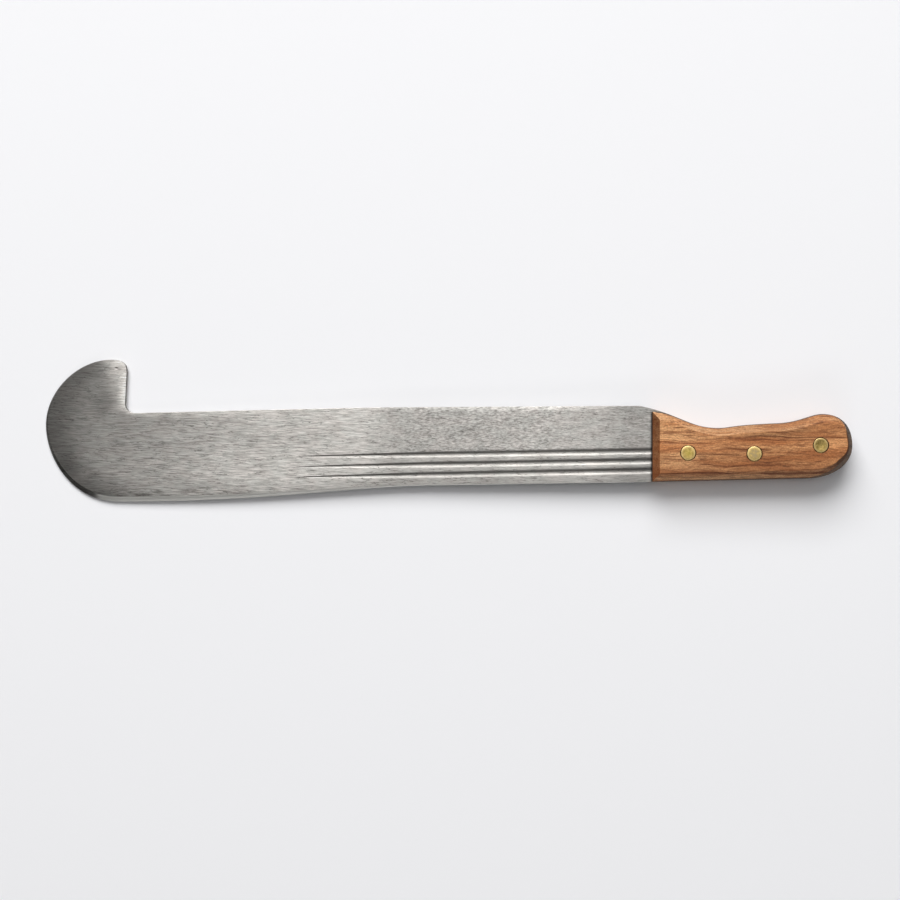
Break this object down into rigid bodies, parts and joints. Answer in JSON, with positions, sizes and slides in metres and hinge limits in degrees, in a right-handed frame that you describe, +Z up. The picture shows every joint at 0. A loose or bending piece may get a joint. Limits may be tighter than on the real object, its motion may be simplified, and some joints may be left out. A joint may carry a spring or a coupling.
{
  "type": "machete",
  "caption": "Hook-nosed farm machete: a long flat steel blade with shallow fullers and a full tang, gripped between riveted wooden scales.",
  "frame": {"origin": "centre of the tool's box on the surface that it lies on", "axes": "+X along the tool from the nose to the butt, +Y from the edge to the spine, +Z up from the surface"},
  "size_m": [0.54, 0.0966, 0.0267],
  "materials": {
    "blade_steel": "ground along its length, mottled, darker towards the nose",
    "scale_wood": "oiled hardwood, grain along the handle",
    "rivet_brass": "worn, dull polish"
  },
  "bodies": {
    "root": {"blade": "blade_steel", "front_scale": "scale_wood", "back_scale": "scale_wood", "front_rivet_pin": "rivet_brass", "front_rivet_sleeve": "rivet_brass", "middle_rivet_pin": "rivet_brass", "middle_rivet_sleeve": "rivet_brass", "rear_rivet_pin": "rivet_brass", "rear_rivet_sleeve": "rivet_brass"}
  },
  "joints": []
}
